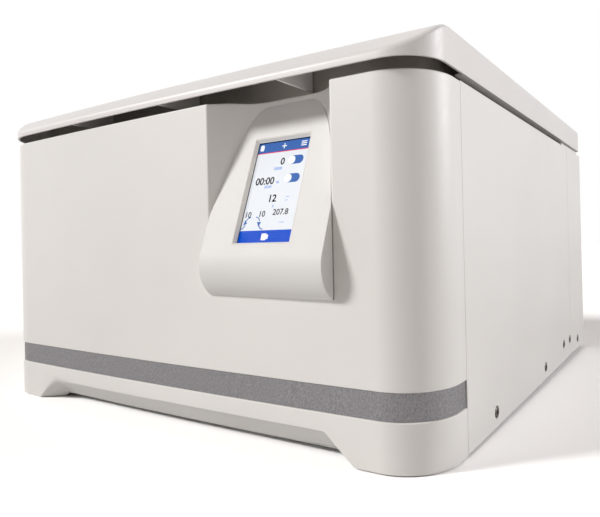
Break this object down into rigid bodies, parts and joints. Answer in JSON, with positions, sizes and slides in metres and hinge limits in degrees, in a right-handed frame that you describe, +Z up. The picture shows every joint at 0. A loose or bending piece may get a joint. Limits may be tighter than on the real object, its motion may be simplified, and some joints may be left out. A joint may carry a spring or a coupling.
{
  "type": "benchtop centrifuge",
  "caption": "Wide refrigerated benchtop centrifuge with a full-size hinged lid, a swing-bucket rotor in a steel chamber, and a tilted touch display in a niche at the front.",
  "frame": {"origin": "on the bench, under the middle of the whole machine from its rear bumpers to its display lip", "axes": "+Z up, -Y towards the user at the front, +X to the user's right"},
  "size_m": [0.7382, 0.764, 0.4293],
  "materials": {
    "body_paint": "satin warm off-white powder coat",
    "stripe_paint": "dark grey, fine metallic speckle, satin",
    "pod_plastic": "fine satin moulded white plastic",
    "bezel_plastic": "satin grey",
    "display_glass": "clear touch glass",
    "display_panel": "lit panel",
    "lid_paint": "satin off-white",
    "liner_steel": "fine brushed",
    "deck_steel": "fine brushed",
    "bowl_steel": "bright spun stainless",
    "cover_plastic": "satin off-white",
    "zinc_steel": "bright zinc plate",
    "black_rubber": "dull",
    "grey_rubber": "dull",
    "insulation_foam": "cut foam",
    "copper": "drawn copper tube",
    "cast_grey": "grey enamel on castings",
    "rotor_alloy": "dark anodised",
    "bucket_alloy": "clear anodised",
    "shaft_steel": "ground steel",
    "black_plastic": "moulded black",
    "board_green": "circuit board",
    "fin_aluminium": "rolled fins",
    "compressor_black": "gloss black",
    "window_glass": "clear"
  },
  "bodies": {
    "body": {"front_fascia": "body_paint", "accent_stripe": "stripe_paint", "front_skirt": "body_paint", "side_panel_right": "body_paint", "side_panel_left": "body_paint", "side_screws": "zinc_steel", "display_housing": "pod_plastic", "display_bezel": "bezel_plastic", "display_glass": "display_glass", "display_module": "display_panel", "top_deck": "deck_steel", "hinge_covers": "cover_plastic", "base_tray": "zinc_steel", "feet": "black_rubber", "rear_panel": "body_paint", "rear_screws": "zinc_steel", "rear_bumpers": "black_rubber", "chamber_bowl": "bowl_steel", "chamber_gasket": "grey_rubber", "chamber_insulation": "insulation_foam", "evaporator_rings": "copper", "guard_ring": "cast_grey", "vibration_mounts": "black_rubber", "motor_plate": "zinc_steel", "motor_housing": "cast_grey", "motor_boot": "black_rubber", "hinge_brackets": "zinc_steel", "hinge_pins": "shaft_steel", "hinge_springs": "zinc_steel", "latch_frames": "zinc_steel", "latch_motors": "zinc_steel", "control_board": "board_green", "drive_inverter": "fin_aluminium", "mains_inlet": "black_plastic", "switch_frame": "black_plastic", "compressor": "compressor_black", "compressor_feet": "black_rubber", "condenser": "fin_aluminium", "fan_shroud": "zinc_steel", "fan_motor": "cast_grey", "refrigerant_lines": "copper", "filter_drier": "copper"},
    "lid": {"lid_shell": "lid_paint", "lid_liner": "liner_steel", "viewport_window": "window_glass", "viewport_tube": "black_plastic", "hinge_arms": "zinc_steel", "latch_strikers": "zinc_steel"},
    "rotor": {"drive_shaft": "shaft_steel", "rotor_body": "rotor_alloy", "rotor_nut": "bucket_alloy"},
    "bucket_one": {"bucket_1": "bucket_alloy"},
    "bucket_two": {"bucket_2": "bucket_alloy"},
    "bucket_three": {"bucket_3": "bucket_alloy"},
    "bucket_four": {"bucket_4": "bucket_alloy"},
    "hook_left": {"latch_hook_left": "zinc_steel"},
    "hook_right": {"latch_hook_right": "zinc_steel"},
    "fan": {"condenser_fan": "black_plastic"},
    "rocker": {"power_rocker": "black_plastic"}
  },
  "joints": [
    {"name": "lid_hinge", "type": "hinge", "parent": "body", "child": "lid", "pos_m": [0, 0.356, 0.3955], "axis": [-1, 0, 0], "range_deg": [0, 75]},
    {"name": "rotor_spin", "type": "hinge", "parent": "body", "child": "rotor", "pos_m": [0.105, 0.008, 0.2585], "axis": [0, 0, 1], "continuous": true},
    {"name": "bucket_one_swing", "type": "hinge", "parent": "rotor", "child": "bucket_one", "pos_m": [0.225, 0.008, 0.2585], "axis": [0, -1, 0], "range_deg": [0, 90]},
    {"name": "bucket_two_swing", "type": "hinge", "parent": "rotor", "child": "bucket_two", "pos_m": [0.105, 0.128, 0.2585], "axis": [1, 0, 0], "range_deg": [0, 90]},
    {"name": "bucket_three_swing", "type": "hinge", "parent": "rotor", "child": "bucket_three", "pos_m": [-0.015, 0.008, 0.2585], "axis": [0, 1, 0], "range_deg": [0, 90]},
    {"name": "bucket_four_swing", "type": "hinge", "parent": "rotor", "child": "bucket_four", "pos_m": [0.105, -0.112, 0.2585], "axis": [-1, 0, 0], "range_deg": [0, 90]},
    {"name": "left_hook_turn", "type": "hinge", "parent": "body", "child": "hook_left", "pos_m": [-0.05, -0.266, 0.3365], "axis": [1, 0, 0], "range_deg": [0, 20]},
    {"name": "right_hook_turn", "type": "hinge", "parent": "body", "child": "hook_right", "pos_m": [0.3, -0.266, 0.3365], "axis": [1, 0, 0], "range_deg": [0, 20]},
    {"name": "fan_spin", "type": "hinge", "parent": "body", "child": "fan", "pos_m": [-0.258, 0.3025, 0.1255], "axis": [0, 1, 0], "continuous": true},
    {"name": "rocker_tilt", "type": "hinge", "parent": "body", "child": "rocker", "pos_m": [-0.06, 0.357, 0.0635], "axis": [-1, 0, 0], "range_deg": [0, 18]}
  ],
  "couplings": [
    {"joint": "right_hook_turn", "follows": "left_hook_turn", "ratio": 1}
  ]
}
